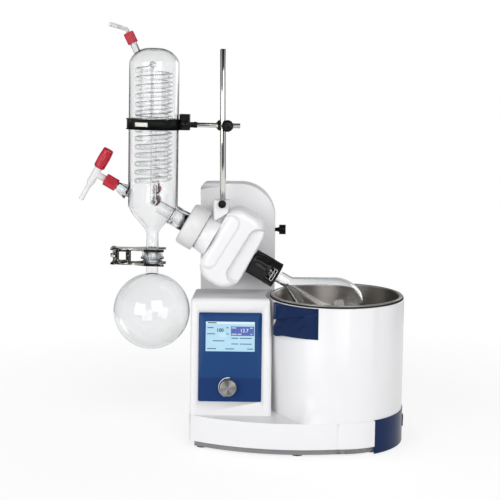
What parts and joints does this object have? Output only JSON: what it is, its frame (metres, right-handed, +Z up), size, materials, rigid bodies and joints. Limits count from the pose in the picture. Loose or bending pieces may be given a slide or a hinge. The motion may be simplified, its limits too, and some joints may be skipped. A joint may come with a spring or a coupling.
{
  "type": "rotary evaporator",
  "caption": "Bench rotary evaporator: lifting tower, slanted drive head with pear flask over a round heating bath, upright coil condenser, receiving flask and control box.",
  "frame": {"origin": "on the bench, under the middle of the base's front part, in the plane of the flask, head and condenser", "axes": "+Z up; the operator stands at -Y; +X to the operator's right, from the condenser towards the bath"},
  "size_m": [0.6796, 0.3043, 0.8585],
  "materials": {
    "white_plastic": "white moulded housing",
    "blue_plastic": "dark blue moulding",
    "panel_blue": "dark blue panel film",
    "plinth_grey": "grey painted sheet",
    "black_plastic": "black moulding",
    "red_plastic": "red screw caps",
    "clear_plastic": "milky union nut and hose tails",
    "seal_plastic": "pale fluoropolymer",
    "black_rubber": "black rubber",
    "bath_steel": "brushed stainless",
    "steel": "ground steel",
    "chrome": "polished plating",
    "knob_metal": "turned aluminium",
    "cast_alloy": "cast alloy",
    "glass": "clear borosilicate glass",
    "screen_glass": "lit display",
    "circuit_green": "circuit board"
  },
  "bodies": {
    "base": {"base_cover": "white_plastic", "base_plate": "plinth_grey", "rubber_feet": "black_rubber", "side_cover": "blue_plastic", "power_switch_frame": "black_plastic", "mains_inlet": "black_plastic", "bath_jacket": "white_plastic", "bath_vessel": "bath_steel", "bath_seam_ring": "black_rubber", "bath_heater": "cast_alloy", "bath_handles": "blue_plastic", "control_housing": "white_plastic", "control_panel": "panel_blue", "display_screen": "screen_glass", "control_board": "circuit_green", "rear_cover": "white_plastic", "guide_rails": "steel", "lift_actuator": "cast_alloy"},
    "power_rocker": {"power_rocker": "black_plastic"},
    "encoder_stem": {"encoder_stem": "steel"},
    "encoder_knob": {"encoder_knob": "knob_metal"},
    "tower": {"tower_cover": "white_plastic", "tower_frame": "cast_alloy", "guide_bushes": "seal_plastic", "lift_rod": "steel"},
    "tilt_lock": {"tilt_lock_knob": "black_plastic"},
    "head": {"head_front_cover": "white_plastic", "head_rear_cover": "white_plastic", "head_frame": "cast_alloy", "head_motor": "steel", "drive_belt": "black_rubber", "head_collar": "white_plastic", "main_bearings": "steel", "vapour_seal": "seal_plastic", "rod_holder": "white_plastic", "support_rod": "steel", "boss_head": "black_plastic", "clamp_bar": "steel", "ring_clamp": "black_plastic", "ring_liner": "seal_plastic", "condenser": "glass", "condenser_coil": "glass", "screw_caps": "red_plastic", "hose_tails": "clear_plastic", "feed_valve_body": "clear_plastic", "receiving_flask": "glass", "joint_clamp": "chrome"},
    "rotor": {"rotor_hub": "steel", "vapour_duct": "glass", "flask_clip": "black_plastic", "clip_springs": "chrome", "evaporating_flask": "glass"},
    "motor_pulley": {"motor_pulley": "steel"},
    "condenser_nut": {"condenser_nut": "clear_plastic"},
    "rod_holder_knob": {"rod_holder_knob": "black_plastic"},
    "boss_knob_front": {"boss_knob_front": "black_plastic"},
    "boss_knob_rear": {"boss_knob_rear": "black_plastic"},
    "ring_clamp_knob": {"ring_clamp_knob": "black_plastic"},
    "clamp_screw": {"clamp_screw": "chrome"},
    "valve_knob": {"valve_knob": "red_plastic"}
  },
  "joints": [
    {"name": "tower_lift", "type": "slide", "parent": "base", "child": "tower", "axis": [0, 0, 1], "range_m": [0, 0.15]},
    {"name": "head_tilt", "type": "hinge", "parent": "tower", "child": "head", "pos_m": [-0.13, 0.1, 0.393], "axis": [0, 1, 0], "range_deg": [-1.5, 6]},
    {"name": "tilt_lock_turn", "type": "hinge", "parent": "tower", "child": "tilt_lock", "pos_m": [-0.05, 0.1, 0.427], "axis": [1, 0, 0], "continuous": true},
    {"name": "rotor_spin", "type": "hinge", "parent": "head", "child": "rotor", "pos_m": [-0.13, 0, 0.393], "axis": [0.866, 0, -0.5], "continuous": true},
    {"name": "motor_spin", "type": "hinge", "parent": "head", "child": "motor_pulley", "pos_m": [-0.104, 0, 0.43803], "axis": [0.866, 0, -0.5], "continuous": true},
    {"name": "nut_turn", "type": "hinge", "parent": "head", "child": "condenser_nut", "pos_m": [-0.214, 0, 0.4415], "axis": [0.866, 0, -0.5], "continuous": true},
    {"name": "rod_holder_screw_turn", "type": "hinge", "parent": "head", "child": "rod_holder_knob", "pos_m": [-0.1565, -0.02, 0.493], "axis": [0, -1, 0], "continuous": true},
    {"name": "boss_front_screw_turn", "type": "hinge", "parent": "head", "child": "boss_knob_front", "pos_m": [-0.1464, -0.01, 0.65153], "axis": [0, -1, 0], "continuous": true},
    {"name": "boss_rear_screw_turn", "type": "hinge", "parent": "head", "child": "boss_knob_rear", "pos_m": [-0.1609, 0.025, 0.65153], "axis": [0, 1, 0], "continuous": true},
    {"name": "ring_screw_turn", "type": "hinge", "parent": "head", "child": "ring_clamp_knob", "pos_m": [-0.23061, -0.015, 0.65282], "axis": [0, -1, 0], "continuous": true},
    {"name": "fork_screw_turn", "type": "hinge", "parent": "head", "child": "clamp_screw", "pos_m": [-0.38341, 0, 0.38315], "axis": [0.0175, 0, 0.9998], "continuous": true},
    {"name": "stopcock_turn", "type": "hinge", "parent": "head", "child": "valve_knob", "pos_m": [-0.41918, 0, 0.55228], "axis": [0.5, 0, 0.866], "continuous": true},
    {"name": "encoder_press", "type": "slide", "parent": "base", "child": "encoder_stem", "axis": [0, 0.9853, -0.1708], "range_m": [0, 0.0008], "stiffness_N_per_m": 1500, "springref_m": -0.0008},
    {"name": "encoder_turn", "type": "hinge", "parent": "encoder_stem", "child": "encoder_knob", "pos_m": [-0.1395, -0.08529, 0.126], "axis": [0, -0.9853, 0.1708], "continuous": true},
    {"name": "rocker_tip", "type": "hinge", "parent": "base", "child": "power_rocker", "pos_m": [0.219, 0, 0.042], "axis": [0, 0, 1], "range_deg": [0, 16]}
  ],
  "couplings": [
    {"joint": "motor_spin", "follows": "rotor_spin", "ratio": 4.2857}
  ]
}
